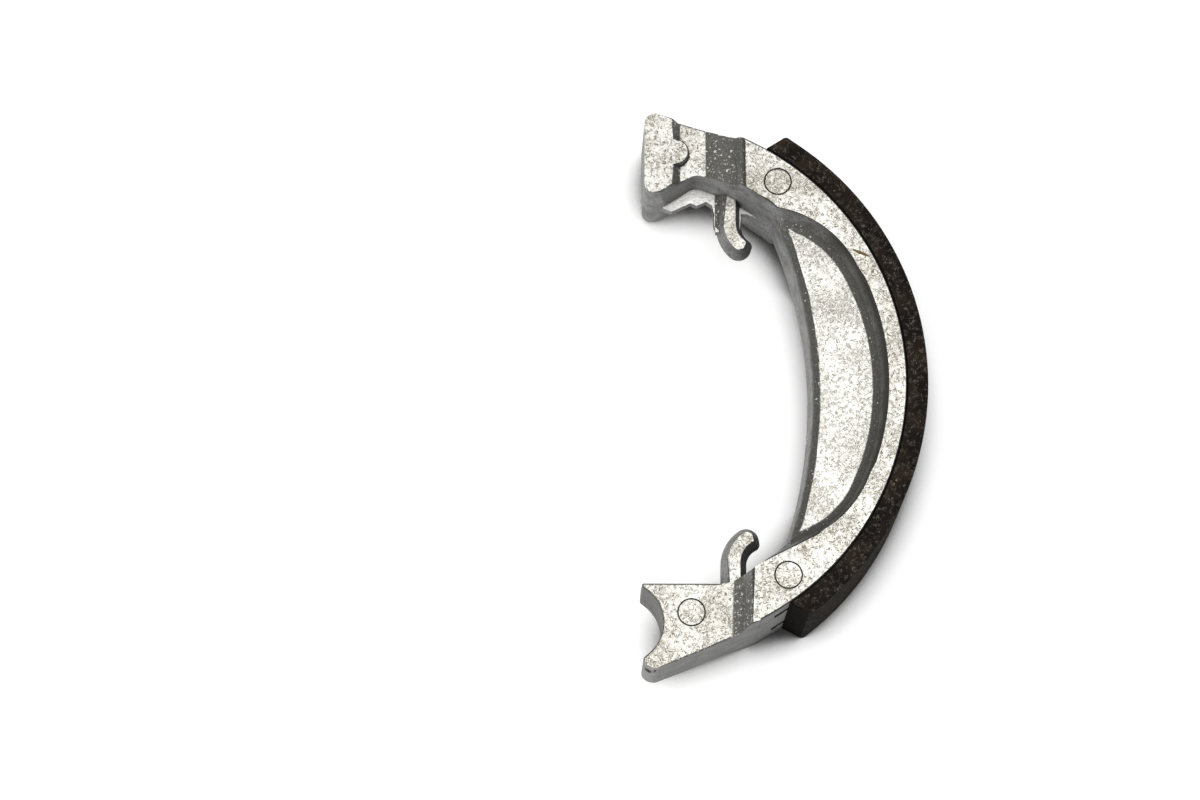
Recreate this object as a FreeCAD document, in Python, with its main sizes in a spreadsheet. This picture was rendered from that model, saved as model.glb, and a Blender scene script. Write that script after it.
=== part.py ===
import FreeCAD, Part
import math
import os
import re
import Sketcher
from FreeCAD import Vector

# Brake shoe for a small drum brake: one die-cast shoe with a bonded friction lining.
#
# The shoe is symmetric about the mould's parting plane, which is each body's XY plane.
# Origin of the sketches: the drum axis. +X points to the lining, +Y to the cam end,
# -Y to the pivot end, Z along the drum axis. Lengths are in mm, angles in degrees.

SIZES = {
    # drum, lining and rim
    "drum_radius": 55.0,
    "lining_thickness": 3.9,
    "shoe_width": 25.0,
    "rim_thickness": 3.6,
    "lining_cam_angle": 60.2,
    "lining_pivot_angle": 55.6,
    "lining_end_lean": 2.2,
    "lining_corner_round": 1.0,
    # cam end: the pad that the cam pushes, and its arm
    "cam_face_x": 2.7,
    "cam_face_length": 16.2,
    "cam_tangent_angle": 73.0,
    "cam_pad_drop": 2.5,
    "cam_pad_length": 5.4,
    "cam_pad_step": 1.1,
    "cam_pad_top_round": 2.0,
    "cam_pad_foot_round": 1.8,
    "cam_pad_slope": 33.0,
    "cam_arm_drop": 4.4,
    "cam_arm_depth": 9.3,
    "cam_arm_angle": 72.7,
    "cam_arm_round": 2.5,
    "cam_ramp_start": 11.55,
    "cam_ramp_length": 5.5,
    "cam_ramp_rise": 1.5,
    "cam_ramp_round": 2.0,
    "cam_wall_run": 1.0,
    # pivot end: the fork that sits against the anchor pin, and its arm
    "pivot_face_x": 2.1,
    "pivot_arm_drop": 4.5,
    "pivot_arm_depth": 9.95,
    "pivot_arm_angle": 64.4,
    "pivot_arm_round": 4.0,
    "tail_radius": 160.0,
    "tail_angle": 63.0,
    "nose_round": 2.5,
    "pivot_ramp_start": 17.0,
    "pivot_ramp_length": 1.4,
    "pivot_ramp_rise": 0.5,
    "pivot_ramp_round": 1.5,
    "pivot_wall_run": 1.7,
    "anchor_seat_radius": 7.45,
    "anchor_offset": 1.45,
    "anchor_inset": 6.1,
    "fork_tip_round": 0.5,
    # web and the recess on each side of it
    "recess_depth": 5.0,
    "web_edge_radius": 87.9,
    "web_end_depth": 6.6,
    "web_cam_angle": 56.5,
    "web_pivot_angle": 53.6,
    "web_edge_fillet": 1.7,
    "recess_cam_angle": 41.6,
    "recess_cam_slope": 10.0,
    "recess_pivot_angle": 33.7,
    "recess_pivot_slope": 27.5,
    "recess_corner_round": 20.0,
    "recess_draft": 12.0,
    "recess_fillet": 2.0,
    "side_draft": 4.5,
    "wall_top_round": 0.8,
    "clear_of_face": 2.0,
    # return spring hooks
    "hook_width": 4.8,
    "hook_turn_radius": 5.65,
    "hook_half_height": 3.5,
    "hook_draft": 20.0,
    "hook_outer_round": 2.4,
    "hook_inner_round": 1.3,
    "hook_tuck": 2.2,
    "cam_hook_angle": 63.1,
    "cam_hook_drop": 4.8,
    "cam_hook_turn": 72.0,
    "pivot_hook_angle": 62.0,
    "pivot_hook_drop": 3.5,
    "pivot_hook_turn": 80.0,
    # broken gate left by casting
    "gate_thickness": 2.2,
    # ejector pin marks
    "mark_diameter": 5.3,
    "mark_line": 0.3,
    "mark_depth": 0.3,
    "mark_inset": 4.25,
    "mark_cam_angle": 54.0,
    "mark_pivot_angle": 52.1,
    "fork_mark_reach": 12.65,
    "fork_mark_rise": 1.9,
    "pad_pin_overhang": 0.5,
    "pad_pin_rise": 8.0,
    "pad_pin_diameter": 4.8,
    # keying grooves in the rim, under the lining
    "groove_width": 2.4,
    "groove_depth": 0.8,
    "groove_offset": 6.3,
    "groove_cam_angle": 56.0,
    "groove_pivot_angle": 58.6,
}

# Sizes that follow from the ones above
DERIVED = {
    "half_width": "shoe_width / 2",
    "rim_radius": "drum_radius - lining_thickness",
    "rim_inner_radius": "rim_radius - rim_thickness",
    "rim_middle_radius": "rim_radius - rim_thickness / 2",
    "half_pad": "half_width - cam_pad_drop",
    "half_cam_arm": "half_width - cam_arm_drop",
    "half_pivot_arm": "half_width - pivot_arm_drop",
    "half_web": "half_width - recess_depth",
    "web_end_radius": "rim_radius - web_end_depth",
    "cam_arm_inner_radius": "rim_radius - cam_arm_depth",
    "pivot_arm_inner_radius": "rim_radius - pivot_arm_depth",
    "cam_arm_corner_x": "cam_arm_inner_radius * cos(cam_arm_angle)",
    "cam_arm_corner_y": "cam_arm_inner_radius * sin(cam_arm_angle)",
    "fork_corner_x": "pivot_arm_inner_radius * cos(pivot_arm_angle)",
    "fork_corner_y": "-pivot_arm_inner_radius * sin(pivot_arm_angle)",
    "cam_face_top_y": "rim_radius * sin(cam_tangent_angle)"
                      " + (rim_radius * cos(cam_tangent_angle) - cam_face_x) / tan(cam_tangent_angle)",
    "cam_face_foot_y": "cam_face_top_y - cam_face_length",
    "pad_edge_x": "cam_face_x + cam_pad_length",
    "cam_ramp_x": "cam_face_x + cam_ramp_start",
    "cam_ramp_end_x": "cam_ramp_x + cam_ramp_length",
    "cam_wall_x": "cam_ramp_end_x + cam_wall_run",
    "pivot_ramp_x": "pivot_face_x + pivot_ramp_start",
    "pivot_ramp_end_x": "pivot_ramp_x + pivot_ramp_length",
    "pivot_wall_x": "pivot_ramp_end_x + pivot_wall_run",
    "anchor_x": "-anchor_offset",
    "anchor_y": "anchor_inset - rim_radius",
    "hook_outer_radius": "hook_turn_radius + hook_width / 2",
    "hook_inner_radius": "hook_turn_radius - hook_width / 2",
    "cam_hook_x": "cam_arm_inner_radius * cos(cam_hook_angle)",
    "cam_hook_wall_y": "cam_arm_inner_radius * sin(cam_hook_angle)",
    "cam_hook_y": "cam_hook_wall_y - cam_hook_drop",
    "pivot_hook_x": "pivot_arm_inner_radius * cos(pivot_hook_angle)",
    "pivot_hook_wall_y": "pivot_arm_inner_radius * sin(pivot_hook_angle)",
    "pivot_hook_y": "pivot_hook_wall_y - pivot_hook_drop",
    "mark_radius": "rim_radius - mark_inset",
}

# Corners of the broken gate, counted from the middle of the cam end hook's bend. The first nine are the
# ragged edge, and four more are a sliver on the hook's other side. The rest lie inside the hook and the arm.
GATE_BREAK = ((-18.25, 3.5), (-16.45, 2.8), (-14.55, 3.7), (-12.95, 4.5), (-11.75, 4.0), (-9.95, 4.8),
              (-8.85, 4.0), (-8.55, 1.3), (-8.15, -1.2), (-3.55, -1.2), (-3.35, 2.4), (-2.25, 2.4),
              (-1.55, 2.0), (0.35, 1.3), (0.75, 4.5), (-6.25, 8.5), (-17.25, 8.5))

# Largest distance at which two places count as the same
TOLERANCE = 1e-3

# How much distance counts against a centre, beside how well it lies inside its corner
NEARNESS = 0.01

# The sketcher's own numbers: its origin, and the start, end and centre of a curve
ORIGIN = -1
START, END, CENTRE = 1, 2, 3

doc = FreeCAD.newDocument("brake_shoe")
sheet = doc.addObject("Spreadsheet::Sheet", "Sizes")
CELLS = {**{name: str(value) for name, value in SIZES.items()},
         **{name: f"={formula}" for name, formula in DERIVED.items()}}
for row, (alias, content) in enumerate(CELLS.items(), start=1):
    sheet.set(f"A{row}", alias)
    sheet.set(f"B{row}", content)
    sheet.setAlias(f"B{row}", alias)
doc.recompute()


def in_sheet(formula):
    """The formula with each size's name turned into a reference to its cell."""
    return re.sub(r"[a-z_]+", lambda word: f"Sizes.{word[0]}" if word[0] in CELLS else word[0], formula)


def bind(feature, **formulas):
    """Tie properties of a feature to the sheet."""
    for name, formula in formulas.items():
        feature.setExpression(name, in_sheet(formula))


def new_body(label):
    body = doc.addObject("PartDesign::Body", label)
    body.Label = label
    return body


def origin_plane(body, role):
    """One of the body's own origin planes."""
    return next(item for item in body.Origin.OriginFeatures if item.Role == role)


def new_sketch(body, name, plane="XY_Plane", height="0"):
    """A sketch on one of the body's own origin planes, lifted by a height along its normal."""
    sketch = body.newObject("Sketcher::SketchObject", name)
    sketch.AttachmentSupport = [(origin_plane(body, plane), "")]
    sketch.MapMode = "FlatFace"
    sketch.setExpression("AttachmentOffset.Base.z", in_sheet(height))
    return sketch


def tie(sketch, kind, *where, to, value=1.0):
    """Add a dimension that follows the sheet. value is what it has before the next recompute."""
    index = sketch.addConstraint(Sketcher.Constraint(kind, *where, value))
    sketch.setExpression(f"Constraints[{index}]", in_sheet(to))


def corner(x, y, rounding=None, arc=None):
    """One corner of an outline. arc is the radius of the edge that leaves it, and a
    leading minus sign bends that edge clockwise. Without it the edge is straight."""
    return {"x": x, "y": y, "rounding": rounding, "arc": arc}


def value_of(formula):
    """A size's value from the sheet, for a formula that is one name with or without a minus sign."""
    name = formula.lstrip("-")
    value = sheet.get(name)
    return -value if formula.startswith("-") else value


class Straight:
    """A straight edge between two corners."""

    def __init__(self, start, end):
        self.start, self.end = start, end
        self.along = (end - start).normalize()
        self.across = Vector(-self.along.y, self.along.x, 0)

    def directions(self):
        return self.along, -self.along

    def offsets(self, distance):
        shifts = self.across * distance, self.across * -distance
        return [Part.Line(self.start + shift, self.end + shift) for shift in shifts]

    def nearest(self, point):
        return self.start + self.along * (point - self.start).dot(self.along)

    def draw(self, sketch, first, last):
        index = sketch.addGeometry(Part.LineSegment(first, last), False)
        return index, START, END


class Round:
    """A round edge between two corners, counterclockwise for a positive radius."""

    def __init__(self, start, end, radius):
        self.start, self.end = start, end
        self.turn = math.copysign(1, radius)
        self.radius = abs(radius)
        half = (end - start) * 0.5
        across = Vector(-half.y, half.x, 0).normalize()
        rise = math.sqrt(self.radius ** 2 - half.Length ** 2)
        self.centre = start + half + across * rise * self.turn

    def directions(self):
        spoke_in = self.start - self.centre
        spoke_out = self.end - self.centre
        leave = Vector(-spoke_in.y, spoke_in.x, 0).normalize() * self.turn
        arrive = Vector(-spoke_out.y, spoke_out.x, 0).normalize() * self.turn
        return leave, -arrive

    def offsets(self, distance):
        radii = (self.radius + distance, self.radius - distance)
        return [Part.Circle(self.centre, Vector(0, 0, 1), radius) for radius in radii]

    def nearest(self, point):
        return self.centre + (point - self.centre).normalize() * self.radius

    def draw(self, sketch, first, last):
        if self.turn < 0:
            first, last = last, first
        angles = [math.atan2(p.y - self.centre.y, p.x - self.centre.x) for p in (first, last)]
        circle = Part.Circle(self.centre, Vector(0, 0, 1), self.radius)
        index = sketch.addGeometry(Part.ArcOfCircle(circle, *angles), False)
        return (index, START, END) if self.turn > 0 else (index, END, START)


def rounding_centre(point, before, after, radius):
    """Centre of the arc that rounds the corner between two edges."""
    inward = before.directions()[1] + after.directions()[0]
    best = None
    for first in before.offsets(radius):
        for second in after.offsets(radius):
            for hit in first.intersect(second):
                spoke = Vector(hit.X, hit.Y, 0) - point
                score = spoke.dot(inward) / spoke.Length - NEARNESS * spoke.Length / radius
                if best is None or score > best[0]:
                    best = (score, point + spoke)
    return best[1]


def draw_outline(sketch, corners):
    """Draw a closed outline through the corners, with every size tied to the sheet."""
    pins = []
    for item in corners:
        pin = sketch.addGeometry(Part.Point(Vector()), True)
        tie(sketch, "DistanceX", ORIGIN, START, pin, START, to=item["x"])
        tie(sketch, "DistanceY", ORIGIN, START, pin, START, to=item["y"])
        pins.append(pin)
    doc.recompute()
    places = [sketch.getPoint(pin, START) for pin in pins]
    count = len(corners)
    edges = []
    for index, item in enumerate(corners):
        ends = places[index], places[(index + 1) % count]
        edges.append(Round(*ends, value_of(item["arc"])) if item["arc"] else Straight(*ends))
    roundings = {}
    for index, item in enumerate(corners):
        if item["rounding"]:
            before, after = edges[index - 1], edges[index]
            centre = rounding_centre(places[index], before, after, value_of(item["rounding"]))
            roundings[index] = (before.nearest(centre), after.nearest(centre), centre)
    drawn = []
    for index, edge in enumerate(edges):
        following = (index + 1) % count
        first = roundings[index][1] if index in roundings else places[index]
        last = roundings[following][0] if following in roundings else places[following]
        drawn.append(edge.draw(sketch, first, last))
    for index, item in enumerate(corners):
        edge, head, tail = drawn[index]
        earlier, earlier_head, earlier_tail = drawn[index - 1]
        if item["arc"]:
            tie(sketch, "Radius", edge, to=item["arc"].lstrip("-"), value=edges[index].radius)
        if index not in roundings:
            sketch.addConstraint(Sketcher.Constraint("Coincident", edge, head, pins[index], START))
            sketch.addConstraint(Sketcher.Constraint("Coincident", earlier, earlier_tail, pins[index], START))
            continue
        start, end, centre = roundings[index]
        turn = math.copysign(value_of(item["rounding"]), (start - centre).cross(end - centre).z)
        arc, arc_head, arc_tail = Round(start, end, turn).draw(sketch, start, end)
        tie(sketch, "Radius", arc, to=item["rounding"], value=abs(turn))
        sketch.addConstraint(Sketcher.Constraint("PointOnObject", pins[index], START, edge))
        sketch.addConstraint(Sketcher.Constraint("PointOnObject", pins[index], START, earlier))
        sketch.addConstraint(Sketcher.Constraint("Tangent", earlier, earlier_tail, arc, arc_head))
        sketch.addConstraint(Sketcher.Constraint("Tangent", arc, arc_tail, edge, head))
    doc.recompute()


def draw_circle(sketch, x, y, diameter):
    """A circle tied to the sheet."""
    index = sketch.addGeometry(Part.Circle(Vector(1, 1, 0), Vector(0, 0, 1), 1), False)
    tie(sketch, "DistanceX", ORIGIN, START, index, CENTRE, to=x)
    tie(sketch, "DistanceY", ORIGIN, START, index, CENTRE, to=y)
    tie(sketch, "Diameter", index, to=diameter)


def extrude(body, kind, name, sketch, length, draft=None, symmetric=False, reversed_way=False):
    """A pad or a pocket of a sketch. draft leans its walls outwards, away from the sketch."""
    feature = body.newObject(f"PartDesign::{kind}", name)
    feature.Profile = sketch
    feature.Reversed = reversed_way
    if symmetric and draft:
        feature.SideType = "Two sides"
        half = f"({length}) / 2"
        bind(feature, Length=half, Length2=half, TaperAngle=draft, TaperAngle2=draft)
    else:
        feature.SideType = "Symmetric" if symmetric else "One side"
        bind(feature, Length=length)
        if draft:
            bind(feature, TaperAngle=draft)
    sketch.Visibility = False
    doc.recompute()
    print(f"{name}: volume {feature.Shape.Volume:.1f}")
    return feature


def mirror(body, name, features=()):
    """The same features, or without any the whole body, on the other side of the parting plane."""
    copy = body.newObject("PartDesign::Mirrored", name)
    copy.Originals = list(features)
    copy.TransformMode = "Features" if features else "Whole shape"
    copy.MirrorPlane = (origin_plane(body, "XY_Plane"), [""])
    body.Tip = copy
    doc.recompute()
    print(f"{name}: volume {copy.Shape.Volume:.1f}")


def polar(radius, angle, below=False):
    """Formulas for a point at a radius and an angle, above or below the X axis."""
    return f"{radius} * cos({angle})", f"{'-' if below else ''}{radius} * sin({angle})"


def draw_blank(sketch):
    """Outline of the shoe as seen along the drum axis, with the space inside it still filled."""
    tail_x = "(rim_radius - tail_radius) * cos(tail_angle)"
    tail_y = "(tail_radius - rim_radius) * sin(tail_angle)"
    nose_y = f"{tail_y} - sqrt(tail_radius ^ 2 - (pivot_face_x - {tail_x}) ^ 2)"
    inner_y = "fork_corner_y + 2 * clear_of_face"
    draw_outline(sketch, [
        corner(*polar("rim_radius", "cam_tangent_angle")),
        corner("cam_face_x", "cam_face_top_y", rounding="cam_pad_top_round"),
        corner("cam_face_x", "cam_face_foot_y", rounding="cam_pad_foot_round"),
        corner("cam_arm_corner_x", "cam_face_foot_y"),
        corner("cam_arm_corner_x", inner_y),
        corner("pivot_face_x", inner_y),
        corner("pivot_face_x", nose_y, rounding="nose_round", arc="tail_radius"),
        corner(*polar("rim_radius", "tail_angle", below=True), arc="rim_radius"),
    ])


def draw_inside(sketch):
    """Outline of the open space between the arms and inside the rim, at the parting plane."""
    slope_foot_y = "cam_arm_corner_y - (cam_arm_corner_x + clear_of_face) * tan(cam_pad_slope)"
    draw_outline(sketch, [
        corner("-clear_of_face", slope_foot_y),
        corner("cam_arm_corner_x", "cam_arm_corner_y", rounding="cam_arm_round", arc="-cam_arm_inner_radius"),
        corner("cam_arm_inner_radius", "0"),
        corner("pivot_arm_inner_radius", "0", arc="-pivot_arm_inner_radius"),
        corner("fork_corner_x", "fork_corner_y", rounding="pivot_arm_round"),
        corner("-clear_of_face", "fork_corner_y"),
    ])


def draw_web(sketch):
    """Outline of the web at the parting plane. Its ends and outer edge lie inside the arms and the rim."""
    draw_outline(sketch, [
        corner(*polar("web_end_radius", "web_cam_angle"), arc="-web_edge_radius"),
        corner(*polar("web_end_radius", "web_pivot_angle", below=True)),
        corner(*polar("rim_middle_radius", "web_pivot_angle", below=True), arc="rim_middle_radius"),
        corner(*polar("rim_middle_radius", "web_cam_angle")),
    ])


def draw_cam_levels(sketch):
    """Side view of what the cam end lacks above its pad, arm and ramp."""
    beyond_x = "cam_wall_x + 2 * wall_top_round"
    draw_outline(sketch, [
        corner("-clear_of_face", "half_pad"),
        corner("pad_edge_x", "half_pad"),
        corner("pad_edge_x + cam_pad_step", "half_cam_arm"),
        corner("cam_ramp_x", "half_cam_arm"),
        corner("cam_ramp_end_x", "half_cam_arm + cam_ramp_rise", rounding="cam_ramp_round"),
        corner("cam_wall_x", "half_width", rounding="wall_top_round"),
        corner(beyond_x, "half_width"),
        corner(beyond_x, "half_width + clear_of_face"),
        corner("-clear_of_face", "half_width + clear_of_face"),
    ])


def draw_pivot_levels(sketch):
    """Side view of what the pivot end lacks above its fork, arm and ramp."""
    beyond_x = "pivot_wall_x + 2 * wall_top_round"
    draw_outline(sketch, [
        corner("-clear_of_face", "half_pivot_arm"),
        corner("pivot_ramp_x", "half_pivot_arm"),
        corner("pivot_ramp_end_x", "half_pivot_arm + pivot_ramp_rise", rounding="pivot_ramp_round"),
        corner("pivot_wall_x", "half_width", rounding="wall_top_round"),
        corner(beyond_x, "half_width"),
        corner(beyond_x, "half_width + clear_of_face"),
        corner("-clear_of_face", "half_width + clear_of_face"),
    ])


def draw_recess(sketch):
    """Outline of the recess over the web, inside the rim, at the side face. It ends in the open space."""
    cam_x, cam_y = polar("rim_inner_radius", "recess_cam_angle")
    pivot_x, pivot_y = polar("rim_inner_radius", "recess_pivot_angle", below=True)
    open_x = "rim_inner_radius / 2 - clear_of_face"
    draw_outline(sketch, [
        corner(pivot_x, pivot_y, rounding="recess_corner_round", arc="rim_inner_radius"),
        corner(cam_x, cam_y, rounding="recess_corner_round"),
        corner(open_x, f"{cam_y} + ({cam_x} - ({open_x})) * tan(recess_cam_slope)"),
        corner(open_x, f"{pivot_y} - ({pivot_x} - ({open_x})) * tan(recess_pivot_slope)"),
    ])


def draw_hook(sketch, side, below):
    """Outline of a return spring hook: a straight stem, a bend towards the rim and a blunt end."""
    sign = "-" if below else ""
    stem_x, bend_y, turn = f"{side}_hook_x", f"{side}_hook_y", f"{side}_hook_turn"
    root_y = f"{sign}({side}_hook_wall_y + hook_tuck)"
    outer, inner = "hook_outer_radius", "hook_inner_radius"
    end_x = [f"{stem_x} + hook_turn_radius - {radius} * cos({turn})" for radius in (outer, inner)]
    end_y = [f"{sign}({bend_y} - {radius} * sin({turn}))" for radius in (outer, inner)]
    outward, back = ("-", "") if below else ("", "-")
    draw_outline(sketch, [
        corner(f"{stem_x} - hook_width / 2", root_y),
        corner(f"{stem_x} - hook_width / 2", f"{sign}{bend_y}", arc=outward + outer),
        corner(end_x[0], end_y[0], rounding="hook_outer_round"),
        corner(end_x[1], end_y[1], rounding="hook_inner_round", arc=back + inner),
        corner(f"{stem_x} + hook_width / 2", f"{sign}{bend_y}"),
        corner(f"{stem_x} + hook_width / 2", root_y),
    ])


def draw_ring(sketch, x, y):
    """Two circles, one inside the other: the line that an ejector pin leaves around itself."""
    draw_circle(sketch, x, y, "mark_diameter")
    draw_circle(sketch, x, y, "mark_diameter - 2 * mark_line")


def draw_gate(sketch):
    """Outline of the broken gate: a ragged edge towards the open space, the rest inside the arm."""
    bend_x = "cam_hook_x + hook_turn_radius"
    draw_outline(sketch, [corner(f"{bend_x} + {x}", f"cam_hook_y + {y}") for x, y in GATE_BREAK])


def round_edges(body, name, size, is_wanted):
    """Fillet the edges of the body's last feature that pass the test."""
    base = body.Tip
    edges = enumerate(base.Shape.Edges, start=1)
    names = [f"Edge{number}" for number, edge in edges if is_wanted(edge)]
    fillet = body.newObject("PartDesign::Fillet", name)
    fillet.Base = (base, names)
    bind(fillet, Radius=size)
    doc.recompute()
    print(f"{name}: {len(names)} edges, volume {fillet.Shape.Volume:.1f}")


def is_on_web_face(edge):
    """Whether both ends of an edge lie on the web's face, which is also where the cores' feet are."""
    return all(abs(abs(vertex.Z) - sheet.half_web) < TOLERANCE for vertex in edge.Vertexes)


def is_web_edge(edge):
    """Whether an edge of the web's faces is an arc that doesn't turn about the drum axis."""
    if not isinstance(edge.Curve, Part.Circle) or not is_on_web_face(edge):
        return False
    return math.hypot(edge.Curve.Center.x, edge.Curve.Center.y) > TOLERANCE


def is_fork_tip(edge):
    """Whether an edge is one of the two that run up the fork where its seat starts and ends."""
    middle = edge.CenterOfMass
    from_pin = math.hypot(middle.x - sheet.anchor_x, middle.y - sheet.anchor_y)
    return isinstance(edge.Curve, Part.Line) and abs(from_pin - sheet.anchor_seat_radius) < TOLERANCE


def is_web_wall(face):
    """Whether a face is the round wall along the web's inner edge."""
    if not isinstance(face.Surface, Part.Cylinder):
        return False
    return abs(face.Surface.Radius - sheet.web_edge_radius) < TOLERANCE


def build_web():
    """The web by itself, so that its rounded edge can run out under the arms."""
    body = new_body("web")
    outline = new_sketch(body, "web_outline")
    draw_web(outline)
    half = extrude(body, "Pad", "web_half", outline, "half_web")
    faces = enumerate(half.Shape.Faces, start=1)
    lean = body.newObject("PartDesign::Draft", "web_wall_draft")
    lean.Base = (half, [f"Face{number}" for number, face in faces if is_web_wall(face)])
    lean.NeutralPlane = (origin_plane(body, "XY_Plane"), [""])
    bind(lean, Angle="side_draft")
    doc.recompute()
    print(f"web_wall_draft: volume {lean.Shape.Volume:.1f}")
    mirror(body, "web_mirrored")
    round_edges(body, "web_edge_fillet", "web_edge_fillet", is_web_edge)
    return body


def build_cores():
    """The two cores that leave the recesses. Their rounded feet leave a fillet round the web."""
    body = new_body("recess_cores")
    outline = new_sketch(body, "recess_outline", height="half_width")
    draw_recess(outline)
    core = extrude(body, "Pad", "recess_core", outline, "recess_depth", draft="-recess_draft",
                   reversed_way=True)
    mirror(body, "cores_mirrored", [core])
    round_edges(body, "core_feet", "recess_fillet", is_on_web_face)
    return body


def combine(body, name, other, kind):
    """Join another body to this one, or cut it out of this one."""
    joined = body.newObject("PartDesign::Boolean", name)
    joined.setObjects([other])
    joined.Type = kind
    doc.recompute()
    print(f"{name}: volume {joined.Shape.Volume:.1f}")


def build_casting():
    web, cores = build_web(), build_cores()
    body = new_body("shoe_casting")
    blank = new_sketch(body, "blank_outline")
    draw_blank(blank)
    extrude(body, "Pad", "blank", blank, "shoe_width", symmetric=True)

    inside = new_sketch(body, "inside_outline")
    draw_inside(inside)
    through = "shoe_width + clear_of_face"
    extrude(body, "Pocket", "inside", inside, through, draft="side_draft", symmetric=True)

    seat = new_sketch(body, "anchor_seat_circle")
    draw_circle(seat, "anchor_x", "anchor_y", "2 * anchor_seat_radius")
    extrude(body, "Pocket", "anchor_seat", seat, through, symmetric=True)
    round_edges(body, "fork_tips", "fork_tip_round", is_fork_tip)

    cam_side = new_sketch(body, "cam_end_side_view", plane="XZ_Plane")
    draw_cam_levels(cam_side)
    cam_levels = extrude(body, "Pocket", "cam_end_levels", cam_side, "drum_radius")

    pivot_side = new_sketch(body, "pivot_end_side_view", plane="XZ_Plane")
    draw_pivot_levels(pivot_side)
    pivot_levels = extrude(body, "Pocket", "pivot_end_levels", pivot_side, "drum_radius",
                           reversed_way=True)

    mirror(body, "levels_mirrored", [cam_levels, pivot_levels])

    combine(body, "web_joined", web, "Fuse")
    combine(body, "recesses", cores, "Cut")

    for side in ("cam", "pivot"):
        hook = new_sketch(body, f"{side}_hook_outline")
        draw_hook(hook, side, below=side == "pivot")
        extrude(body, "Pad", f"{side}_hook", hook, "2 * hook_half_height", draft="-hook_draft",
                symmetric=True)

    gate = new_sketch(body, "gate_outline")
    draw_gate(gate)
    extrude(body, "Pad", "broken_gate", gate, "gate_thickness", symmetric=True)

    groove = new_sketch(body, "keying_groove_section", plane="XZ_Plane")
    inner, outer = "rim_radius - groove_depth", "rim_radius + clear_of_face"
    low, high = "groove_offset - groove_width / 2", "groove_offset + groove_width / 2"
    draw_outline(groove, [corner(inner, low), corner(outer, low), corner(outer, high), corner(inner, high)])
    keying = body.newObject("PartDesign::Groove", "keying_groove")
    keying.Profile = groove
    keying.ReferenceAxis = (groove, ["V_Axis"])
    keying.Type = "TwoAngles"
    bind(keying, Angle="groove_cam_angle", Angle2="groove_pivot_angle")
    doc.recompute()
    print(f"keying_groove: volume {keying.Shape.Volume:.1f}")

    pin = new_sketch(body, "pad_pin_circle")
    draw_circle(pin, "pad_edge_x + pad_pin_overhang", "cam_face_foot_y + pad_pin_rise", "pad_pin_diameter")
    pad_pin = extrude(body, "Pad", "pad_pin", pin, "half_pad")

    rim_rings = new_sketch(body, "rim_mark_rings", height="half_width")
    draw_ring(rim_rings, *polar("mark_radius", "mark_cam_angle"))
    draw_ring(rim_rings, *polar("mark_radius", "mark_pivot_angle", below=True))
    rim_marks = extrude(body, "Pocket", "rim_marks", rim_rings, "mark_depth")

    fork_ring = new_sketch(body, "fork_mark_ring", height="half_pivot_arm")
    draw_ring(fork_ring, "anchor_x + fork_mark_reach", "anchor_y + fork_mark_rise")
    fork_mark = extrude(body, "Pocket", "fork_mark", fork_ring, "mark_depth")

    mirror(body, "marks_mirrored", [keying, pad_pin, rim_marks, fork_mark])
    return body


def build_lining():
    body = new_body("brake_lining")
    outline = new_sketch(body, "lining_outline")
    draw_outline(outline, [
        corner(*polar("drum_radius", "lining_pivot_angle - lining_end_lean", below=True),
               rounding="lining_corner_round", arc="drum_radius"),
        corner(*polar("drum_radius", "lining_cam_angle - lining_end_lean"), rounding="lining_corner_round"),
        corner(*polar("rim_radius", "lining_cam_angle"), arc="-rim_radius"),
        corner(*polar("rim_radius", "lining_pivot_angle", below=True)),
    ])
    extrude(body, "Pad", "lining", outline, "shoe_width", symmetric=True)
    return body


def place_on_side_face(bodies):
    """Lay the shoe on its side face, with the origin under the middle of its box."""
    box = FreeCAD.BoundBox()
    for body in bodies:
        box.add(body.Shape.optimalBoundingBox())
    shift = Vector(-box.Center.x, -box.Center.y, -box.ZMin)
    for body in bodies:
        body.Placement = FreeCAD.Placement(shift, FreeCAD.Rotation())
    doc.recompute()


def check_document(bodies):
    for item in doc.Objects:
        if "Invalid" in item.State or "Error" in item.State:
            raise RuntimeError(f"{item.Label} failed: {item.State}")
        if item.TypeId == "Sketcher::SketchObject" and not item.FullyConstrained:
            raise RuntimeError(f"{item.Label} is not fully constrained")
    for body in bodies:
        if body.Shape.isNull() or not body.Shape.isValid() or len(body.Shape.Solids) != 1:
            raise RuntimeError(f"{body.Label} is not one valid solid")


bodies = build_casting(), build_lining()
place_on_side_face(bodies)
check_document(bodies)
os.makedirs("parts", exist_ok=True)
for body in bodies:
    print(f"{body.Label}: volume {body.Shape.Volume:.1f}, {body.Shape.optimalBoundingBox()}")
    body.Shape.exportStep(f"parts/{body.Label}.step")
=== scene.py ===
# %% [markdown]
# # A cast brake shoe, dressed in Blender
# The part is a shoe of a drum brake: a die-cast aluminium body with a curved strip of friction lining bonded
# to its rim. The solids come from a CAD file and their sizes are already right. This lesson gives them what
# CAD leaves out: edges that are as soft as a casting's, specks, pits and stains, and the two finishes.

# %% Load the solids
import math

import bmesh
import bpy
from mathutils import Matrix, Vector


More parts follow.
